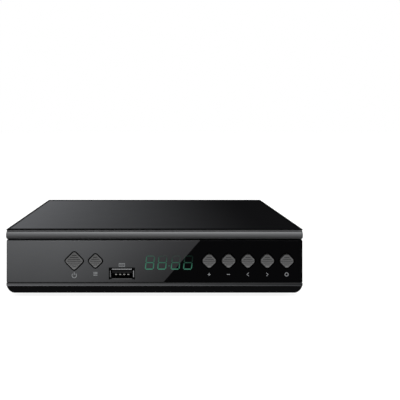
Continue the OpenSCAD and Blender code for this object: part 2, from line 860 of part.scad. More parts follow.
module hdmi_tongue() {
    block_end = body_d + 0.4 - hdmi_depth + 3;
    color("#0c0c0c") at_face() {
        through(body_d + 0.4 - hdmi_depth, block_end) hdmi_outline(-hdmi_shell_t);
        slab([hdmi_x - 5.8, hdmi_x + 5.8], [block_end - fit, body_d - 0.6], [hdmi_z - 0.3, hdmi_z + 1]);
    }
}

module rca_jacks() {
    color("#151515") at_face() slab(
        [rca_x - rca_block[0] / 2, rca_x + rca_block[0] / 2],
        [rear_front - rca_block[1], rear_front],
        [deck, deck + rca_block[2]]
    );
}

module rca_sleeves() {
    color("#c9cbcd") at_face() for (i = [-1 : 1]) {
        tube(rca_x + i * rca_pitch, rca_z, rca_r, rca_bore, body_d, jack_end);
        tube(rca_x + i * rca_pitch, rca_z, rca_r + panel_clear / 2, rca_bore, rear_front, body_d);
    }
}

// The coloured lining of one phono socket
module rca_insert(place) {
    at_face() tube(rca_x + place * rca_pitch, rca_z, rca_bore, rca_pin_hole, rear_front, jack_end - 0.6);
}

module rca_insert_yellow() { color("#e2c417") rca_insert(-1); }
module rca_insert_white() { color("#e8e8e4") rca_insert(0); }
module rca_insert_red() { color("#b3201c") rca_insert(1); }

module dc_jack() {
    back = body_d + dc_proud;
    w = dc_body[0] / 2;
    color("#121212") at_face() difference() {
        slab([dc_x - w, dc_x + w], [back - dc_body[1], back], [deck, deck + dc_body[2]]);
        rod(dc_x, dc_z, dc_bore, back - 10, back + 1);
    }
}

module dc_pin() {
    back = body_d + dc_proud;
    color("#c9cbcd") at_face() {
        rod(dc_x, dc_z, dc_pin_r, back - 10, back - 1.5);
        translate([dc_x, back - 1.5, dc_z]) sphere(dc_pin_r);
    }
}

front_bezel();
front_window();
top_trim_bar();
lower_trim_strip();
top_cover();
base_tray();
foot_front_left();
foot_front_right();
foot_rear_left();
foot_rear_right();
cover_screws();
bezel_screws();
board_standoffs();
main_board_screws();
front_board_screws();
front_board();
switch_housings();
led_display();
display_digits();
ir_receiver();
usb_shell();
usb_tongue();
usb_contacts();
ribbon_headers();
front_ribbon();
main_board();
main_chip();
heat_sink();
memory_chip();
filter_capacitors();
power_coil();
tuner_can();
rf_in_socket();
rf_in_contact();
rf_loop_plug();
rf_loop_pin();
hdmi_shell();
hdmi_tongue();
rca_jacks();
rca_sleeves();
rca_insert_yellow();
rca_insert_white();
rca_insert_red();
dc_jack();
dc_pin();
for (k = KEYS) {
    key(k);
    plunger(k);
}
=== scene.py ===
"""Dresses the packed television receiver: a finish for every CAD piece, printed signs, a lit display,
a few thin pieces of trim and a plain stage. It is laid out as a Blender add-on and run as a script."""

import math

import bpy
from bpy.props import FloatProperty, FloatVectorProperty, IntProperty, PointerProperty
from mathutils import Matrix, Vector


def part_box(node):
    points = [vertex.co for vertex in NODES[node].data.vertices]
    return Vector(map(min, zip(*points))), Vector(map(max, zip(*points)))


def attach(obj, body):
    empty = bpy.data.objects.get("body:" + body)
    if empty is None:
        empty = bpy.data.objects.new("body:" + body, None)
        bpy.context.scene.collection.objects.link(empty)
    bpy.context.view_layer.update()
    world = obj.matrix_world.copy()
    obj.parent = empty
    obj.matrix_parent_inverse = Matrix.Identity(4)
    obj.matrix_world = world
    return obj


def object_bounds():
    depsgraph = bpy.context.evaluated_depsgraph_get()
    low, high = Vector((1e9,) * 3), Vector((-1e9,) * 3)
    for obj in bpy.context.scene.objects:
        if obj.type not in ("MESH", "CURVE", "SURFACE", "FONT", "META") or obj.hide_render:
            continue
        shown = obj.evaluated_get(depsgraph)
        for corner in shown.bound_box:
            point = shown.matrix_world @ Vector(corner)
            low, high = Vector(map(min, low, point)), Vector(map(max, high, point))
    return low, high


bl_info = {
    "name": "Television receiver",
    "version": (1, 0, 0),
    "blender": (4, 5, 0),
    "location": "3D View > Sidebar > Receiver",
    "description": "Finishes, signs and stage for the terrestrial television receiver",
    "category": "Object",
}

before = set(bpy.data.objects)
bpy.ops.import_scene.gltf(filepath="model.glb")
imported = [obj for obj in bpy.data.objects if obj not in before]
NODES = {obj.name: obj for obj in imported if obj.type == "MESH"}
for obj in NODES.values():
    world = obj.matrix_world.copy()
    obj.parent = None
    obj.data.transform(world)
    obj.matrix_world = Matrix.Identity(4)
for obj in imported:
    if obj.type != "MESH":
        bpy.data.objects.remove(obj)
CAD_LOW, CAD_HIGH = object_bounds()
MM = 0.001
BLACK = (0.0, 0.0, 0.0)
WHITE = (1.0, 1.0, 1.0)

# Depths run back from the window's face, heights run up from the front panel's lower edge
WINDOW_LOW, WINDOW_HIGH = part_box("front_window")
FACE_Y = WINDOW_LOW.y
PANEL_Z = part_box("front_bezel")[0].z

# Thickness of the cover's steel
SHEET = 0.9 * MM

# Half the width over which one printed colour gives way to the next
SOFT = 0.05 * MM

LEFT_KEYS = ("power", "menu")
KEY_NAMES = (*LEFT_KEYS, "plus", "minus", "left", "right", "ok")

# Turn of an upright line of ink, in degrees
UPRIGHT = 90.0

# Each lamp's place, the point that it shines at, its width and height, its power and its spread
LAMPS = {
    "front_softbox": ((0.04, -0.58, 0.88), (0.0, 0.0, 0.02), (0.8, 0.3), 12.5, 180.0),
    "left_softbox": ((-0.42, 0.12, 0.34), (-0.09, 0.0, 0.035), (0.3, 0.3), 0.6, 110.0),
    "right_softbox": ((0.7, -0.05, 0.32), (0.0, 0.0, 0.02), (0.4, 0.3), 2.0, 180.0),
    "back_softbox": ((0.35, 0.9, 0.3), (0.0, 0.0, 0.02), (0.6, 0.4), 5.0, 180.0),
}


def linear(code):
    """Scene-linear colour of a display colour that is written as six hexadecimal digits."""
    channels = [int(code[i : i + 2], 16) / 255 for i in (0, 2, 4)]
    return tuple(c / 12.92 if c <= 0.04045 else ((c + 0.055) / 1.055) ** 2.4 for c in channels)


def scaled(colour, share):
    """The colour made darker or lighter, at most white."""
    return tuple(min(1.0, c * share) for c in colour)


def colour_property(name, description, code):
    """A colour for the sidebar, from six hexadecimal digits."""
    return FloatVectorProperty(
        name=name,
        description=description,
        subtype="COLOR",
        size=3,
        min=0.0,
        max=1.0,
        default=linear(code),
    )


def length_property(name, description, millimetres):
    """A length for the sidebar."""
    return FloatProperty(
        name=name, description=description, unit="LENGTH", default=millimetres * MM, precision=5
    )


def share_property(name, description, value):
    """A share from 0 to 1 for the sidebar."""
    return FloatProperty(
        name=name, description=description, subtype="FACTOR", min=0.0, max=1.0, default=value
    )


class ReceiverFront(bpy.types.PropertyGroup):
    """Colours and sizes of the window, bezel, trims and USB contacts"""

    # The grey of the window's left part is a painted reflection, not print. It fades from the light end
    # to the dark end, and the black part is the window's own colour.
    reflection_light_end: colour_property("Window, light end", "Printed grey at the window's left end", "5f6062")
    reflection_dark_end: colour_property("Window, dark end", "Printed grey where the grey part ends", "303032")
    window_black: colour_property("Window, black part", "Colour of the window's right part", "040405")
    wedge_top: length_property("Wedge, top", "Where the two parts meet at the window's top", 25.4)
    wedge_foot: length_property("Wedge, foot", "Where the two parts meet at the window's foot", 5.0)
    edge: length_property("Window edge", "Height of the window's square lower edge", 0.55)
    usb_border: length_property("USB border", "Black border of the window round the USB socket", 0.5)
    contact: length_property("Contact", "Width of a USB contact", 1.0)
    contact_tip: length_property("Contact tip", "How far a contact's tip hangs below its bow", 0.38)
    bezel: colour_property("Bezel", "Moulded front", "0b0b0c")
    bar: colour_property("Top bar", "Half-round bar along the top", "7d7e80")
    strip: colour_property("Lower strip", "Thin strip over the chin", "8b8c8f")
    # Painted light: the ridge is paler than the bar because it sits in the shade under the cover's lip
    ridge: colour_property("Ridge", "Back of the bar under the cover's lip", "8b8c8e")
    ridge_depth: length_property("Ridge depth", "From the window's face to the front of the ridge", 0.1)


class ReceiverCase(bpy.types.PropertyGroup):
    """Colours of the cover, tray and feet"""

    # The cover's own paint is the black of its lip. The top's left-to-right fade is a painted sheen, and
    # the folds and sides carry a lighter painted tone.
    cover_sheen_left: colour_property("Cover, left", "Cover paint at the left end", "515254")
    cover_sheen_right: colour_property("Cover, right", "Cover paint at the right end", "0e0e0f")
    cover_side_lightened: colour_property("Cover, sides", "Cover paint on the folds and sides", "242526")
    cover_lip: colour_property("Cover, lip", "Edge of the sheet over the front bar", "111112")
    steel: colour_property("Steel", "Zinc-coated sheet of the tray", "a3a7ab")
    rubber: colour_property("Feet", "Rubber of the feet", "151516")


class ReceiverKeys(bpy.types.PropertyGroup):
    """Colours and sizes of the key caps, their signs and the display"""

    cap: colour_property("Caps", "Colour of the key caps", "7f7f7f")
    # Painted shade round the caps' rims, lighter on the two left caps, which get more light
    left_rim_shade: share_property("Rim, left", "How dark the rims of the two left caps are", 0.05)
    right_rim_shade: share_property("Rim, right", "How dark the rims of the five right caps are", 0.4)
    corner: length_property("Corner", "Radius of a cap's corners", 1.3)
    flange: length_property("Flange", "How far a cap's hidden flange reaches past it", 0.9)
    sign: colour_property("Signs", "Printed signs on the window", "97999b")
    stroke: length_property("Stroke", "Width of a sign's lines", 0.36)
    ink: length_property("Ink", "Thickness of the printing", 0.02)
    power_height: length_property("Power sign", "Height of the power sign on the panel", 9.75)
    menu_height: length_property("Menu sign", "Height of the menu sign on the panel", 10.75)
    right_height: length_property("Right signs", "Height of the five right signs on the panel", 10.35)
    port_height: length_property("Port sign", "Height of the USB sign on the panel", 15.6)
    lit: colour_property("Segments", "Light of the display's segments", "427f68")


class ReceiverStage(bpy.types.PropertyGroup):
    """Camera, background and floor"""

    distance: length_property("Distance", "From the camera to the window's face", 254.0)
    height: length_property("Height", "From the panel's lower edge to the camera", 92.55)
    scale: FloatProperty(name="Scale", description="Pixels per millimetre of the window", default=1.7935)
    picture: IntProperty(
        name="Picture", description="Pixels across the picture", subtype="PIXEL", default=400
    )
    vanish_x: FloatProperty(
        name="Vanishing point", description="Pixels from the left", subtype="PIXEL", default=154.5
    )
    horizon: FloatProperty(
        name="Horizon", description="Pixels from the top", subtype="PIXEL", default=127.0
    )
    floor: colour_property("Floor", "Pale floor", "808080")
    fill: share_property("Fill", "Strength of the light from all round", 0.1)
    glow: share_property("Floor glow", "How white the floor near the object stays in the shade", 0.9)


GROUPS = {
    "receiver_front": ReceiverFront,
    "receiver_case": ReceiverCase,
    "receiver_keys": ReceiverKeys,
    "receiver_stage": ReceiverStage,
}


class Wire:
    """A shader socket that takes part in Python sums; each sum adds a Math node."""

    def __init__(self, graph, socket):
        self.graph = graph
        self.socket = socket

    def maths(self, operation, *values):
        """Adds a Math node."""
        return self.graph.node("ShaderNodeMath", {"operation": operation}, dict(enumerate(values)))

    def __add__(self, other):
        return self.maths("ADD", self, other)

    def __radd__(self, other):
        return self.maths("ADD", other, self)

    def __sub__(self, other):
        return self.maths("SUBTRACT", self, other)

    def __rsub__(self, other):
        return self.maths("SUBTRACT", other, self)

    def __mul__(self, other):
        return self.maths("MULTIPLY", self, other)

    def __rmul__(self, other):
        return self.maths("MULTIPLY", other, self)

    def __truediv__(self, other):
        return self.maths("DIVIDE", self, other)

    def __pow__(self, other):
        return self.maths("POWER", self, other)

    def __abs__(self):
        return self.maths("ABSOLUTE", self)

    def most(self, other):
        """The larger of two values."""
        return self.maths("MAXIMUM", self, other)

    def rise(self, start, end, way="SMOOTHSTEP"):
        """0 before start, 1 after end, smooth or straight between them."""
        return self.graph.node(
            "ShaderNodeMapRange",
            {"interpolation_type": way},
            {"Value": self, "From Min": start, "From Max": end},
        )


class Graph:
    """A node tree that is written as sums and calls."""

    def __init__(self, tree):
        self.tree = tree

    def fill(self, node, sockets):
        """Sets or links the inputs of a node."""
        for key, value in sockets.items():
            if isinstance(value, Wire):
                self.tree.links.new(value.socket, node.inputs[key])
            else:
                node.inputs[key].default_value = value

    def node(self, kind, settings=None, sockets=None, output=0):
        """Adds a node: its settings first, then the values or links of its sockets."""
        made = self.tree.nodes.new(kind)
        for key, value in (settings or {}).items():
            setattr(made, key, value)
        self.fill(made, sockets or {})
        return Wire(self, made.outputs[output])

    def seen(self):
        """1 for rays from the camera, mirrors and glass, 0 for rays that carry light."""
        rays = [
            self.node("ShaderNodeLightPath", output=f"Is {kind} Ray")
            for kind in ("Camera", "Glossy", "Transmission")
        ]
        return rays[0].most(rays[1]).most(rays[2])


class Recipe(Graph):
    """A material with one Principled shader, and the nodes that feed it."""

    # Sockets of a Mix node that is set to colours
    FIRST_COLOUR, SECOND_COLOUR, MIXED_COLOUR = 6, 7, 2

    def __init__(self, name):
        self.material = bpy.data.materials.new(name)
        self.material.use_nodes = True
        super().__init__(self.material.node_tree)
        self.shader = self.tree.nodes["Principled BSDF"]
        self.place = self.node("ShaderNodeTexCoord", output="Object")

    def along(self, axis):
        """The place along one axis, in metres."""
        return self.node("ShaderNodeSeparateXYZ", sockets={0: self.place}, output=axis)

    def facing(self, axis):
        """How far the surface faces along one axis, from -1 to 1."""
        normal = self.node("ShaderNodeNewGeometry", output="Normal")
        return self.node("ShaderNodeSeparateXYZ", sockets={0: normal}, output=axis)

    def outside(self, low, high):
        """0 within a rectangle across and up, 1 outside it."""
        x, z = self.along("X"), self.along("Z")
        beyond = (low.x - x).most(x - high.x).most(low.z - z).most(z - high.z)
        return beyond.rise(-SOFT, SOFT)

    def noise(self, size, detail=2.0, stretch=(1.0, 1.0, 1.0)):
        """Cloudy values about 0.5, with clouds of about this size in metres."""
        place = self.node(
            "ShaderNodeVectorMath", {"operation": "MULTIPLY"}, {0: self.place, 1: stretch}
        )
        sockets = {"Vector": place, "Scale": 1.0 / size, "Detail": detail}
        return self.node("ShaderNodeTexNoise", sockets=sockets)

    def cells(self, size, output):
        """Cells of about this size in metres: the colour of each, or the distance from its middle."""
        sockets = {"Vector": self.place, "Scale": 1.0 / size}
        return self.node("ShaderNodeTexVoronoi", sockets=sockets, output=output)

    def mix(self, first, second, share):
        """From one colour to another by a share from 0 to 1."""
        first = first if isinstance(first, Wire) else (*first, 1.0)
        second = second if isinstance(second, Wire) else (*second, 1.0)
        sockets = {"Factor": share, self.FIRST_COLOUR: first, self.SECOND_COLOUR: second}
        return self.node("ShaderNodeMix", {"data_type": "RGBA"}, sockets, self.MIXED_COLOUR)

    def mottled(self, colour, share, size):
        """A colour that drifts a little darker and lighter over the surface."""
        clouds = self.noise(size, detail=3.0)
        return self.mix(scaled(colour, 1 - share), scaled(colour, 1 + share), clouds)

    def bump(self, height, depth, strength):
        """Fine relief of the surface."""
        sockets = {"Height": height, "Strength": strength, "Distance": depth}
        self.fill(self.shader, {"Normal": self.node("ShaderNodeBump", sockets=sockets)})

    def finish(self, **sockets):
        """Sets or links the shader's sockets and returns the material."""
        self.fill(self.shader, {key.replace("_", " "): value for key, value in sockets.items()})
        return self.material


def moulded(name, colour, roughness, specular=0.3, grain=0.35 * MM, depth=0.006 * MM):
    """Moulded plastic with a fine eroded grain."""
    recipe = Recipe(name)
    grains = recipe.noise(grain, detail=3.0)
    spread = 0.12
    recipe.bump(grains, depth, strength=0.6)
    return recipe.finish(
        Base_Color=recipe.mottled(colour, share=0.1, size=6 * MM),
        Roughness=roughness - spread / 2 + spread * grains,
        Specular_IOR_Level=specular,
    )


def plated(name, colour, roughness, line=(1.0, 1.0, 1.0)):
    """Bright plated or brushed metal; line squeezes the marks into lines."""
    recipe = Recipe(name)
    marks = recipe.noise(0.25 * MM, detail=4.0, stretch=line)
    haze = recipe.noise(5 * MM)
    dull = scaled(colour, 0.82)
    smoothest, spread = roughness - 0.05, 0.16
    recipe.bump(marks, depth=0.002 * MM, strength=0.5)
    return recipe.finish(
        Base_Color=recipe.mix(dull, colour, 0.4 * marks + 0.6 * haze),
        Roughness=smoothest + spread * marks,
        Metallic=1.0,
    )


def spangled(name, colour):
    """Zinc-coated steel sheet with its crystal pattern."""
    recipe = Recipe(name)
    cells = recipe.cells(2.6 * MM, "Color")
    crystals = recipe.node("ShaderNodeSeparateColor", sockets={0: cells}, output="Red")
    scratches = recipe.noise(0.3 * MM, detail=3.0, stretch=(0.06, 1.0, 1.0))
    dull = scaled(colour, 0.72)
    smoothest, spread = 0.36, 0.16
    recipe.bump(scratches, depth=0.002 * MM, strength=0.4)
    return recipe.finish(
        Base_Color=recipe.mix(dull, colour, 0.7 * crystals + 0.3 * scratches),
        Roughness=smoothest + spread * crystals,
        Metallic=0.85,
    )


def cover_paint(settings):
    """Black powder coat on the folded cover: a painted sheen makes the flat top paler at the left,
    painted shade darkens it along its end and rear folds, and the folds and sides get a lighter painted
    tone than the dark front lip."""
    recipe = Recipe("cover_paint")
    x, y = recipe.along("X"), recipe.along("Y")
    end = CAD_HIGH.x
    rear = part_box("top_cover")[1].y
    darkest, fade, end_shade_share, rear_shade_share = 0.76 * end, 1.6, 0.85, 0.9
    across = x.rise(CAD_LOW.x, darkest, "LINEAR")
    top = recipe.mix(settings.cover_sheen_right, settings.cover_sheen_left, (1 - across) ** fade)
    # Painted shade along the top's end and rear folds
    ends = abs(x).rise(end - 3.2 * MM, end - 1.6 * MM)
    back = y.rise(rear - 9 * MM, rear - 2 * MM)
    top = recipe.mix(top, BLACK, (end_shade_share * ends).most(rear_shade_share * back))
    # Lit and shaded copies by facing: the top takes the painted sheen, the folds and sides the lighter
    # painted tone, the lip the plain black
    flat = recipe.facing("Z").rise(0.9, 0.99)
    lip = (0 - recipe.facing("Y")).rise(0.6, 0.9)
    shade = recipe.mix(recipe.mix(settings.cover_side_lightened, top, flat), settings.cover_lip, lip)
    peel = recipe.noise(0.7 * MM)
    specks = recipe.noise(0.22 * MM)
    clouds = recipe.noise(9 * MM)
    smoothest, spread = 0.5, 0.2
    recipe.bump(0.6 * peel + 0.4 * specks, depth=0.02 * MM, strength=0.5)
    return recipe.finish(
        Base_Color=recipe.mix(shade, BLACK, 0.16 * specks + 0.08 * clouds),
        Roughness=smoothest + spread * peel,
        Specular_IOR_Level=0.0,
    )


def window_acrylic(settings):
    """Glossy black window with a painted reflection: grey on the left of a slanting line, darker towards
    its foot and the right; painted shade darkens its upper edge, and a black border runs round the USB
    socket."""
    recipe = Recipe("window_acrylic")
    x, z = recipe.along("X"), recipe.along("Z")
    top = WINDOW_HIGH.z
    up = (z - WINDOW_LOW.z) / (top - WINDOW_LOW.z)
    lightest, darkest = -0.72 * CAD_HIGH.x, 0.36 * CAD_HIGH.x
    painted_foot_share, painted_right_share, upper_edge_shade_share, haze_share = 0.36, 0.2, 0.6, 0.06
    across = x.rise(lightest, darkest)
    # Painted reflection: grey that fades to the right and darkens towards the window's foot
    grey = recipe.mix(settings.reflection_light_end, settings.reflection_dark_end, across)
    grey = recipe.mix(grey, BLACK, (painted_foot_share + painted_right_share * across) * (1 - up))
    # Painted shade along the window's upper edge, below the groove under the bar
    upper_edge_shade = z.rise(top - 0.4 * MM, top - 0.2 * MM)
    grey = recipe.mix(grey, BLACK, upper_edge_shade_share * upper_edge_shade)
    slant = settings.wedge_foot + (settings.wedge_top - settings.wedge_foot) * up
    low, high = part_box("usb_shell")
    border = settings.usb_border
    beyond = recipe.outside(low - Vector((border, 0, 0)), high + Vector((border, 0, border)))
    black = (x - slant).rise(-SOFT, SOFT).most(1 - beyond)
    haze = recipe.noise(14 * MM)
    # The grey in this mix is the painted reflection; the black is the window's own colour
    printed = recipe.mix(grey, settings.window_black, black)
    ripple = recipe.noise(9 * MM, detail=1.0)
    smoothest, spread = 0.3, 0.1
    grey_coat, black_coat = 0.2, 0.03
    recipe.bump(ripple, depth=0.004 * MM, strength=0.3)
    return recipe.finish(
        Base_Color=recipe.mix(printed, BLACK, haze_share * haze),
        Roughness=smoothest + spread * haze,
        Specular_IOR_Level=0.0,
        Coat_Weight=grey_coat - (grey_coat - black_coat) * black,
        Coat_Roughness=0.04,
    )


def satin(name, colour, roughness, specular, shade=None):
    """Satin metallic paint with its fine flakes and drawn lines; shade gives more black."""
    recipe = Recipe(name)
    flakes = recipe.noise(0.12 * MM)
    lines = recipe.noise(0.2 * MM, detail=3.0, stretch=(0.01, 1.0, 1.0))
    most, flake_share, line_share = 0.16, 0.08, 0.08
    black = most - flake_share * flakes - line_share * lines
    if shade:
        black = black + shade(recipe)
    spread = 0.1
    recipe.bump(lines, depth=0.004 * MM, strength=0.4)
    return recipe.finish(
        Base_Color=recipe.mix(colour, BLACK, black),
        Roughness=roughness + spread * flakes,
        Specular_IOR_Level=specular,
    )


def bar_shade(recipe):
    """Painted shade and light on the half-round bar: painted shade under its middle, a painted highlight
    on its upper part, painted light along its lowest edge, and less of the highlight at its ends.
    """
    low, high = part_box("top_trim_bar")
    tall = high.z - low.z
    z = recipe.along("Z")
    lit = z.rise(low.z + 0.15 * tall, low.z + 0.75 * tall)
    ends = abs(recipe.along("X")).rise(high.x - 0.8 * MM, high.x - 0.5 * MM)
    foot = 1 - z.rise(low.z + 0.15 * MM, low.z + 0.6 * MM)
    under, lit_share, end_shade_share, painted_foot_share = 0.74, 0.33, 0.6, 0.66
    return under - lit_share * lit * (1 - end_shade_share * ends) - painted_foot_share * foot


def strip_shade(recipe):
    """Painted shade on the strip over the chin: darker along its upper edge and towards the right, most
    of all along its middle."""
    low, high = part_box("lower_trim_strip")
    across = recipe.along("X").rise(low.x, high.x, "LINEAR")
    up = recipe.along("Z").rise(low.z, high.z, "LINEAR")
    middle = up.rise(0.2, 0.45) * (1 - up.rise(0.55, 0.8))
    least, up_shade_share, painted_right_share, middle_shade_share = 0.05, 0.85, 0.6, 0.09
    sides = up_shade_share * up + painted_right_share * across * (1 - up)
    return least + sides + middle_shade_share * middle * across.rise(0.45, 0.75)


def key_shade(node, settings, rim_shade_share):
    """Painted shade on a key: dark in its finger grooves, down its sloping edge, round its rim and at its
    corners, and on its upper half, so that it is paler below."""
    low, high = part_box(node)
    middle = (low + high) / 2
    tip = (high.x - low.x) / 2 - settings.flange
    edge = tip + (math.sqrt(2) - 1) * settings.corner
    groove_shade_share, upper_shade_share, corner_shade_share = 0.8, 0.5, 2.4 * rim_shade_share

    def shade(recipe):
        x, y, z = (recipe.along(axis) for axis in "XYZ")
        aside, above = abs(x - middle.x), abs(z - middle.z)
        grooves = y.rise(low.y + 0.02 * MM, low.y + 0.24 * MM)
        rim = (aside + above).rise(edge - 0.95 * MM, edge - 0.35 * MM)
        away = aside * aside + above * above
        corners = away.rise((tip - 0.85 * MM) ** 2, (tip - 0.3 * MM) ** 2)
        up = z.rise(middle.z - tip, middle.z + tip, "LINEAR")
        dark = (groove_shade_share * grooves).most(rim_shade_share * rim).most(upper_shade_share * up)
        return dark.most(corner_shade_share * corners)

    return shade


def circuit_board(name, colour):
    """Green board with copper tracks under its lacquer, and solder on its pads."""
    recipe = Recipe(name)
    lines = recipe.node(
        "ShaderNodeTexBrick",
        {"offset": 0.37, "squash": 0.6, "squash_frequency": 3},
        {"Vector": recipe.place, "Scale": 120.0, "Mortar Size": 0.06, "Mortar Smooth": 0.0},
        "Fac",
    )
    pads = 1 - recipe.cells(3.1 * MM, "Distance").rise(0.18, 0.24)
    green = recipe.mottled(colour, share=0.15, size=4 * MM)
    copper = tuple(min(1.0, c * 1.7 + 0.01) for c in colour)
    solder, solder_share = linear("b9bcae"), 0.7
    roughest, spread = 0.42, 0.1
    recipe.bump(lines + pads, depth=0.02 * MM, strength=0.6)
    return recipe.finish(
        Base_Color=recipe.mix(recipe.mix(green, copper, lines), solder, solder_share * pads),
        Roughness=roughest - spread * lines,
        Specular_IOR_Level=0.4,
    )


def ribbon_lead(name, colour):
    """Flat lead of side-by-side wires."""
    recipe = Recipe(name)
    wires = recipe.node(
        "ShaderNodeTexWave",
        {"wave_type": "BANDS", "bands_direction": "X", "wave_profile": "SIN"},
        {"Vector": recipe.place, "Scale": 160.0, "Distortion": 0.0},
        "Fac",
    )
    # Painted shade: the grooves between the wires are darker
    grooves = scaled(colour, 0.55)
    roughest, spread = 0.5, 0.1
    recipe.bump(wires, depth=0.15 * MM, strength=0.8)
    return recipe.finish(
        Base_Color=recipe.mix(grooves, colour, wires),
        Roughness=roughest - spread * recipe.noise(2 * MM),
    )


def segment_glow(settings):
    """Green light of the segments, which fades into the window towards the top and the right."""
    recipe = Recipe("segment_glow")
    low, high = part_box("display_digits")
    up = (recipe.along("Z") - low.z) / (high.z - low.z)
    across = (recipe.along("X") - low.x) / (high.x - low.x)
    # Painted reflection: the segments fade towards the top, so over the left digits the window's painted
    # reflection shows through
    brightest, right_fade, upper_fade, faintest = 0.95, 0.12, 0.64, 0.05
    shown = brightest - right_fade * across - upper_fade * up * (1 + across)
    grain = recipe.noise(0.6 * MM)
    grain_share = 0.12
    smoothest, spread = 0.4, 0.1
    return recipe.finish(
        Base_Color=recipe.mottled(linear("101512"), share=0.1, size=1 * MM),
        Roughness=smoothest + spread * grain,
        Specular_IOR_Level=0.0,
        Emission_Color=recipe.mix(settings.lit, BLACK, grain_share * grain),
        Emission_Strength=1.0,
        Alpha=shown.most(faintest),
    )


def socket_shell(name, colour, node):
    """Plated sheet of a socket that faces forward, with painted shade: dark inside its mouth and along
    the outer edge of its lips, and darker on the lower lip and the two side lips."""
    recipe = Recipe(name)
    low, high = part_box(node)
    middle = middle_x(node)
    wide = high.x - middle
    x, y, z = (recipe.along(axis) for axis in "XYZ")
    inside = y.rise(low.y + 0.3 * MM, low.y + 1.1 * MM)
    foot = 1 - z.rise(low.z + 0.6 * MM, low.z + 1.0 * MM)
    sides = abs(x - middle).rise(wide - 1.4 * MM, wide - 1.0 * MM)
    rim = recipe.outside(low + Vector((0.4, 0, 0)) * MM, high - Vector((0.1, 0, 0.42)) * MM)
    painted_foot_share, side_shade_share, rim_shade_share = 0.92, 0.76, 0.97
    dark = inside.most(painted_foot_share * foot).most(side_shade_share * sides).most(rim_shade_share * rim)
    sheet = recipe.mottled(colour, share=0.1, size=1 * MM)
    marks = recipe.noise(0.25 * MM, detail=4.0)
    smoothest, spread = 0.24, 0.16
    recipe.bump(marks, depth=0.002 * MM, strength=0.5)
    return recipe.finish(
        # The colour 161617 is the painted shade's colour
        Base_Color=recipe.mix(sheet, linear("161617"), dark),
        Roughness=smoothest + spread * marks,
        Metallic=1.0,
    )


def coat(material, *names):
    """Gives CAD nodes their finish."""
    for name in names:
        if name not in NODES:
            raise RuntimeError(f"the frame has no node named {name}")
        slots = NODES[name].data.materials
        slots.clear()
        slots.append(material)


def middle_x(name):
    """Where a CAD node's middle is, across."""
    low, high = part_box(name)
    return (low.x + high.x) / 2


def add_object(name, data):
    """Puts a mesh, a lamp or a camera in the scene."""
    made = bpy.data.objects.new(name, data)
    bpy.context.scene.collection.objects.link(made)
    return made


def add_piece(name, mesh, body):
    """Puts a mesh in the scene as a piece, under the empty that is named after a CAD body."""
    piece = add_object(name, mesh)
    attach(piece, body)


class Shape:
    """Points and faces of one piece, in the row frame."""

    def __init__(self):
        self.points = []
        self.faces = []

    def ring(self, outline, depth):
        """Adds an outline drawn across and up at one depth, and returns its point numbers."""
        first = len(self.points)
        self.points += [(x, depth, z) for x, z in outline]
        return list(range(first, len(self.points)))

    def skin(self, back, front):
        """Joins two rings that run anticlockwise as the front sees them."""
        count = len(back)
        for i in range(count):
            j = (i + 1) % count
            self.faces.append((back[i], back[j], front[j], front[i]))

    def prism(self, outline, back, front):
        """A closed solid from one depth to another, with this outline."""
        far, near = self.ring(outline, back), self.ring(outline, front)
        self.faces.append(tuple(reversed(far)))
        self.skin(far, near)
        self.faces.append(tuple(near))

    def make(self, name, body, material):
        """Turns the points and faces into a piece of the scene."""
        mesh = bpy.data.meshes.new(name)
        mesh.from_pydata(self.points, [], self.faces)
        mesh.materials.append(material)
        mesh.update()
        add_piece(name, mesh, body)


def arc(middle, radius, start, end, steps):
    """Points of an arc, angles in degrees."""
    turns = [math.radians(start + (end - start) * i / steps) for i in range(steps + 1)]
    return [(middle[0] + radius * math.cos(t), middle[1] + radius * math.sin(t)) for t in turns]


def band(middle, radius, width, start, end):
    """Outline of a curved line of ink, angles in degrees."""
    steps = 28
    outer = arc(middle, radius + width / 2, start, end, steps)
    inner = arc(middle, radius - width / 2, end, start, steps)
    return outer + inner


def bar(middle, length, width, turn=0.0):
    """Corners of a straight line of ink."""
    a = math.radians(turn)
    along = Vector((math.cos(a), math.sin(a))) * length / 2
    side = Vector((-math.sin(a), math.cos(a))) * width / 2
    centre = Vector(middle)
    return [tuple(centre + p) for p in (-along - side, along - side, along + side, side - along)]


def rectangle(left, right, foot, top):
    """Corners of an upright rectangle."""
    return [(left, foot), (right, foot), (right, top), (left, top)]


def power_sign(middle, line):
    """A ring that is open at its top, and a bar in the gap."""
    x, z = middle
    radius, length, rise = 1.25 * MM, 1.5 * MM, 1.1 * MM
    half_gap = 38.0
    ring = band(middle, radius, line, UPRIGHT + half_gap, UPRIGHT + 360.0 - half_gap)
    return [ring, bar((x, z + rise), length, line, UPRIGHT)]


def menu_sign(middle, line):
    """Three bars, one over the other."""
    x, z = middle
    step, length = 0.8 * MM, 2.3 * MM
    return [bar((x, z + way * step), length, line) for way in (-1, 0, 1)]


def plus_sign(middle, line):
    """The outline of an upright cross, a quarter at a time."""
    reach, arm = 0.8 * MM, line / 2
    quarter = [(reach, -arm), (reach, arm), (arm, arm)]
    points = []
    for c, s in ((1, 0), (0, 1), (-1, 0), (0, -1)):
        points += [(middle[0] + c * x - s * y, middle[1] + s * x + c * y) for x, y in quarter]
    return [points]


def minus_sign(middle, line):
    """One bar."""
    length = 1.7 * MM
    return [bar(middle, length, line)]


def arrow_sign(middle, line, way):
    """An arrow head of two lines, which points left or right."""
    tip, tall, half = 0.5 * MM, 0.95 * MM, 0.6 * line
    outline = [
        (tip + half, 0.0),
        (half - tip, tall),
        (-half - tip, tall),
        (tip - half, 0.0),
        (-half - tip, -tall),
        (half - tip, -tall),
    ]
    points = [(middle[0] + way * x, middle[1] + z) for x, z in outline]
    return [points if way > 0 else points[::-1]]


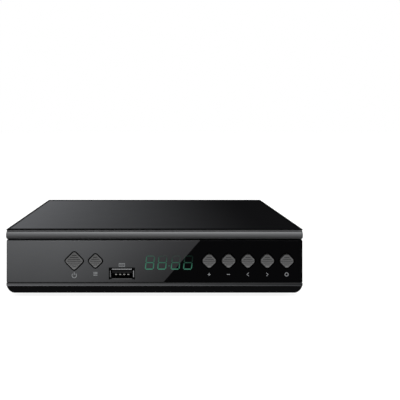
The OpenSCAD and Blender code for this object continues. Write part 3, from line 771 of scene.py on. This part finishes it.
def ring_sign(middle, line):
    """A closed ring, from two halves."""
    radius = 0.9 * MM
    return [band(middle, radius, line, start, start + 180) for start in (0, 180)]


def port_sign(middle):
    """A rectangle of four lines with a dash in it."""
    x, z = middle
    wide, tall, line = 3.4 * MM, 1.7 * MM, 0.26 * MM
    dash, dash_line = 2.0 * MM, 0.32 * MM
    across = (wide - line) / 2
    return [
        bar((x, z + tall / 2), wide, line),
        bar((x, z - tall / 2), wide, line),
        bar((x - across, z), tall - line, line, UPRIGHT),
        bar((x + across, z), tall - line, line, UPRIGHT),
        bar(middle, dash, dash_line),
    ]


class RECEIVER_OT_front(bpy.types.Operator):
    """Finish the bezel, the window and the two trims, and add the window's edge and the bar's ridge"""

    bl_idname = "receiver.front"
    bl_label = "Front panel"

    def execute(self, context):
        settings = context.scene.receiver_front
        coat(moulded("bezel_plastic", settings.bezel, roughness=0.5, specular=0.02), "front_bezel")
        acrylic = window_acrylic(settings)
        coat(acrylic, "front_window")
        self.edge(acrylic, settings.edge)
        paint = satin("trim_bar", settings.bar, roughness=0.4, specular=0.3, shade=bar_shade)
        coat(paint, "top_trim_bar")
        paint = satin("trim_strip", settings.strip, roughness=0.45, specular=0.1, shade=strip_shade)
        coat(paint, "lower_trim_strip")
        # The ridge's pale paint is painted light in the shade under the cover's lip
        paint = satin("ridge_painted_light", settings.ridge, roughness=0.4, specular=0.3)
        self.ridge(paint, settings.ridge_depth)
        return {"FINISHED"}

    def edge(self, acrylic, height):
        """The window's lower edge, square where its solid is rounded."""
        inset, proud, thick = 0.02 * MM, 0.005 * MM, 1 * MM
        left, right = WINDOW_LOW.x + inset, WINDOW_HIGH.x - inset
        outline = rectangle(left, right, WINDOW_LOW.z, WINDOW_LOW.z + height)
        shape = Shape()
        shape.prism(outline, FACE_Y + thick, FACE_Y - proud)
        shape.make("window_edge", "case", acrylic)

    def ridge(self, paint, depth):
        """The back of the bar, which rises under the cover's lip and closes the slot below it."""
        inset, overlap, gap = 0.1 * MM, 0.9 * MM, 0.03 * MM
        low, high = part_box("top_trim_bar")
        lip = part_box("top_cover")[1].z - SHEET
        outline = rectangle(low.x + inset, high.x - inset, high.z - overlap, lip - gap)
        shape = Shape()
        shape.prism(outline, high.y, FACE_Y + depth)
        shape.make("bar_ridge", "case", paint)


class RECEIVER_OT_case(bpy.types.Operator):
    """Finish the cover, the tray, the feet and the screws"""

    bl_idname = "receiver.case"
    bl_label = "Steel case"

    def execute(self, context):
        settings = context.scene.receiver_case
        coat(cover_paint(settings), "top_cover")
        coat(spangled("tray_steel", settings.steel), "base_tray")
        feet = [f"foot_{end}_{side}" for end in ("front", "rear") for side in ("left", "right")]
        rubber = moulded(
            "foot_rubber", settings.rubber, roughness=0.75, specular=0.15, grain=0.5 * MM, depth=0.03 * MM
        )
        coat(rubber, *feet)
        coat(plated("screw_black", linear("2a2a2c"), roughness=0.4), "cover_screws")
        zinc = plated("screw_zinc", linear("b4b7ba"), roughness=0.34)
        coat(zinc, "bezel_screws", "main_board_screws", "front_board_screws")
        return {"FINISHED"}


class RECEIVER_OT_keys(bpy.types.Operator):
    """Finish the seven key caps and their plungers"""

    bl_idname = "receiver.keys"
    bl_label = "Key caps"

    def execute(self, context):
        settings = context.scene.receiver_keys
        for name in KEY_NAMES:
            node = "key_" + name
            rim = settings.left_rim_shade if name in LEFT_KEYS else settings.right_rim_shade
            shade = key_shade(node, settings, rim)
            plastic = satin(node + "_plastic", settings.cap, roughness=0.42, specular=0.1, shade=shade)
            coat(plastic, node)
        white = moulded("plunger_plastic", linear("cfcfca"), roughness=0.45)
        coat(white, *["plunger_" + name for name in KEY_NAMES])
        return {"FINISHED"}


class RECEIVER_OT_signs(bpy.types.Operator):
    """Print a plain sign under each key and over the USB socket"""

    bl_idname = "receiver.signs"
    bl_label = "Printed signs"

    def execute(self, context):
        settings = context.scene.receiver_keys
        ink = moulded(
            "sign_ink", settings.sign, roughness=0.55, specular=0.1, grain=0.3 * MM, depth=0.002 * MM
        )
        for name, outlines in self.signs(settings).items():
            shape = Shape()
            for outline in outlines:
                shape.prism(outline, FACE_Y, FACE_Y - settings.ink)
            shape.make("sign_" + name, "case", ink)
        return {"FINISHED"}

    def signs(self, settings):
        """The outlines of each sign."""
        line = settings.stroke
        power = (middle_x("key_power"), PANEL_Z + settings.power_height)
        menu = (middle_x("key_menu"), PANEL_Z + settings.menu_height)
        port = (middle_x("usb_shell"), PANEL_Z + settings.port_height)
        plus, minus, left, right, ok = [
            (middle_x("key_" + name), PANEL_Z + settings.right_height)
            for name in KEY_NAMES
            if name not in LEFT_KEYS
        ]
        return {
            "power": power_sign(power, line),
            "menu": menu_sign(menu, line),
            "plus": plus_sign(plus, line),
            "minus": minus_sign(minus, line),
            "left": arrow_sign(left, line, -1),
            "right": arrow_sign(right, line, 1),
            "ok": ring_sign(ok, line),
            "port": port_sign(port),
        }


class RECEIVER_OT_display(bpy.types.Operator):
    """Finish the display and the remote-control eye, and light the segments"""

    bl_idname = "receiver.display"
    bl_label = "Display"

    def execute(self, context):
        settings = context.scene.receiver_keys
        self.light(settings.ink, segment_glow(settings))
        coat(moulded("segment_resin", linear("a9cbbb"), roughness=0.4), "display_digits")
        coat(moulded("display_plastic", linear("0b0c0c"), roughness=0.5, specular=0.1), "led_display")
        coat(moulded("ir_resin", linear("1c1114"), roughness=0.25, specular=0.4), "ir_receiver")
        return {"FINISHED"}

    def light(self, thickness, glow):
        """The light of the segments on the smoked window, in the shape of the segments behind it."""
        low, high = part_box("display_digits")
        mesh = NODES["display_digits"].data.copy()
        mesh.materials.clear()
        mesh.materials.append(glow)
        for vertex in mesh.vertices:
            forward = (high.y - vertex.co.y) / (high.y - low.y)
            vertex.co.y = FACE_Y - thickness * forward
        add_piece("segment_light", mesh, "case")


class RECEIVER_OT_sockets(bpy.types.Operator):
    """Finish the front and rear sockets, and add the tips of the USB contacts"""

    bl_idname = "receiver.sockets"
    bl_label = "Sockets"

    def execute(self, context):
        nickel = plated("nickel", linear("c3c5c6"), roughness=0.26)
        coat(nickel, "rf_in_socket", "rf_loop_plug", "hdmi_shell", "rca_sleeves", "dc_pin")
        coat(socket_shell("usb_nickel", linear("e2e3e5"), "usb_shell"), "usb_shell")
        # The contacts' solids are painted dark: painted shade under the shell's upper lip
        coat(plated("contact_shade_painted", linear("4a4a48"), roughness=0.4), "usb_contacts")
        silver = plated("contact_silver", linear("a3a29f"), roughness=0.3)
        self.tips(silver, context.scene.receiver_front)
        gold = plated("gold", linear("d9b25c"), roughness=0.24)
        coat(gold, "rf_in_contact", "rf_loop_pin")
        black = moulded("socket_plastic", linear("0c0c0d"), roughness=0.45, specular=0.1)
        coat(black, "usb_tongue", "hdmi_tongue", "rca_jacks", "dc_jack")
        for name, code in (("yellow", "d8b70f"), ("white", "dcdcd6"), ("red", "a61c18")):
            coat(moulded("insert_" + name, linear(code), roughness=0.4), "rca_insert_" + name)
        return {"FINISHED"}

    def tips(self, silver, settings):
        """The bright tips of the four USB contacts, which hang a little lower than their solids."""
        low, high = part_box("usb_contacts")
        gaps = 3
        pitch = (high.x - low.x - settings.contact) / gaps
        set_back, thick, overlap = 0.8 * MM, 0.4 * MM, 0.1 * MM
        front = low.y + set_back
        foot, top = low.z - settings.contact_tip, low.z + overlap
        shape = Shape()
        for i in range(gaps + 1):
            left = low.x + i * pitch
            shape.prism(rectangle(left, left + settings.contact, foot, top), front + thick, front)
        shape.make("contact_tips", "case", silver)


class RECEIVER_OT_boards(bpy.types.Operator):
    """Finish the two boards and what stands on them"""

    bl_idname = "receiver.boards"
    bl_label = "Boards"

    def execute(self, context):
        coat(circuit_board("board_green", linear("174a2b")), "front_board", "main_board")
        coat(moulded("switch_plastic", linear("19191a"), roughness=0.5), "switch_housings")
        coat(moulded("header_plastic", linear("dcd8c6"), roughness=0.5), "ribbon_headers")
        coat(ribbon_lead("ribbon_plastic", linear("a7aaad")), "front_ribbon")
        chip = moulded("chip_resin", linear("1d1d1f"), roughness=0.6, specular=0.2)
        coat(chip, "main_chip", "memory_chip")
        brushed = plated("sink_aluminium", linear("aeb1b4"), roughness=0.42, line=(1.0, 0.05, 1.0))
        coat(brushed, "heat_sink")
        coat(plated("can_tin", linear("b9bcbe"), roughness=0.38), "tuner_can")
        coat(plated("brass_pillar", linear("c6b684"), roughness=0.35), "board_standoffs")
        sleeve = moulded("capacitor_sleeve", linear("1a2440"), roughness=0.3, specular=0.5)
        coat(sleeve, "filter_capacitors")
        ferrite = moulded(
            "ferrite", linear("242528"), roughness=0.65, specular=0.2, grain=0.2 * MM, depth=0.02 * MM
        )
        coat(ferrite, "power_coil")
        return {"FINISHED"}


class RECEIVER_OT_stage(bpy.types.Operator):
    """Set up the floor, the background, the lamps and the camera"""

    bl_idname = "receiver.stage"
    bl_label = "Stage"

    def execute(self, context):
        settings = context.scene.receiver_stage
        context.scene.view_settings.view_transform = "Standard"
        self.camera(context.scene, settings)
        self.background(context.scene, settings)
        self.floor(settings)
        for name, values in LAMPS.items():
            self.lamp(name, *values)
        return {"FINISHED"}

    def camera(self, scene, settings):
        """A level camera that looks straight at the front, shifted to the picture's frame."""
        data = bpy.data.cameras.new("camera")
        focal = settings.distance / MM * settings.scale
        middle = settings.picture / 2
        data.sensor_width = 36.0
        data.lens = focal / settings.picture * data.sensor_width
        data.shift_x = (middle - settings.vanish_x) / settings.picture
        data.shift_y = (settings.horizon - middle) / settings.picture
        data.clip_start = 10 * MM
        camera = add_object("camera", data)
        camera.location = (0.0, FACE_Y - settings.distance, PANEL_Z + settings.height)
        camera.rotation_euler = (math.radians(90), 0.0, 0.0)
        scene.camera = camera

    def background(self, scene, settings):
        """White where it is seen, and a weak light from all round."""
        world = bpy.data.worlds.new("studio")
        scene.world = world
        world.use_nodes = True
        graph = Graph(world.node_tree)
        strength = settings.fill + (1 - settings.fill) * graph.seen()
        sockets = {"Color": (*WHITE, 1.0), "Strength": strength}
        graph.fill(world.node_tree.nodes["Background"], sockets)

    def floor(self, settings):
        """A pale floor that is white where it is seen, and keeps the object's shadow."""
        side = 6.0
        near, far = 0.2, 0.5
        mesh = bpy.data.meshes.new("floor")
        corners = [(-side, -side, 0), (side, -side, 0), (side, side, 0), (-side, side, 0)]
        mesh.from_pydata(corners, [], [(0, 1, 2, 3)])
        floor = add_object("floor", mesh)
        recipe = Recipe("floor_paper")
        recipe.finish(
            Base_Color=recipe.mottled(settings.floor, share=0.01, size=30 * MM),
            Roughness=0.9,
            Specular_IOR_Level=0.0,
        )
        paper = Wire(recipe, recipe.shader.outputs[0])
        away = recipe.node("ShaderNodeVectorMath", {"operation": "LENGTH"}, {0: recipe.place}, "Value")
        white = recipe.mix((settings.glow,) * 3, WHITE, away.rise(near, far))
        glow = recipe.node("ShaderNodeEmission", sockets={"Color": white})
        bright = recipe.node("ShaderNodeAddShader", sockets={0: paper, 1: glow})
        surface = recipe.node("ShaderNodeMixShader", sockets={0: recipe.seen(), 1: paper, 2: bright})
        recipe.fill(recipe.tree.nodes["Material Output"], {"Surface": surface})
        mesh.materials.append(recipe.material)

    def lamp(self, name, place, target, size, power, spread):
        """A softbox that shines at a point, and that the camera doesn't see."""
        data = bpy.data.lights.new(name, "AREA")
        data.shape = "RECTANGLE"
        data.size, data.size_y = size
        data.energy = power
        data.spread = math.radians(spread)
        lamp = add_object(name, data)
        lamp.location = place
        lamp.rotation_euler = (Vector(target) - Vector(place)).to_track_quat("-Z", "Y").to_euler()
        lamp.visible_camera = False


OPERATORS = (
    RECEIVER_OT_front,
    RECEIVER_OT_case,
    RECEIVER_OT_keys,
    RECEIVER_OT_signs,
    RECEIVER_OT_display,
    RECEIVER_OT_sockets,
    RECEIVER_OT_boards,
    RECEIVER_OT_stage,
)


class RECEIVER_PT_sidebar(bpy.types.Panel):
    """Lists the receiver's pieces and their settings"""

    bl_idname = "RECEIVER_PT_sidebar"
    bl_label = "Television receiver"
    bl_space_type = "VIEW_3D"
    bl_region_type = "UI"
    bl_category = "Receiver"

    def draw(self, context):
        for operator in OPERATORS:
            self.layout.operator(operator.bl_idname)
        for name, group in GROUPS.items():
            box = self.layout.box()
            box.label(text=group.__doc__)
            for setting in group.__annotations__:
                box.prop(getattr(context.scene, name), setting)


CLASSES = (*GROUPS.values(), *OPERATORS, RECEIVER_PT_sidebar)


def register():
    """Adds the classes and their settings to Blender."""
    for cls in CLASSES:
        bpy.utils.register_class(cls)
    for name, group in GROUPS.items():
        setattr(bpy.types.Scene, name, PointerProperty(type=group))


def unregister():
    """Takes the settings and the classes out of Blender again."""
    for name in GROUPS:
        delattr(bpy.types.Scene, name)
    for cls in reversed(CLASSES):
        bpy.utils.unregister_class(cls)


def main():
    """Builds every piece and the stage."""
    register()
    for operator in OPERATORS:
        group, name = operator.bl_idname.split(".")
        getattr(getattr(bpy.ops, group), name)()


if __name__ == "__main__":
    main()
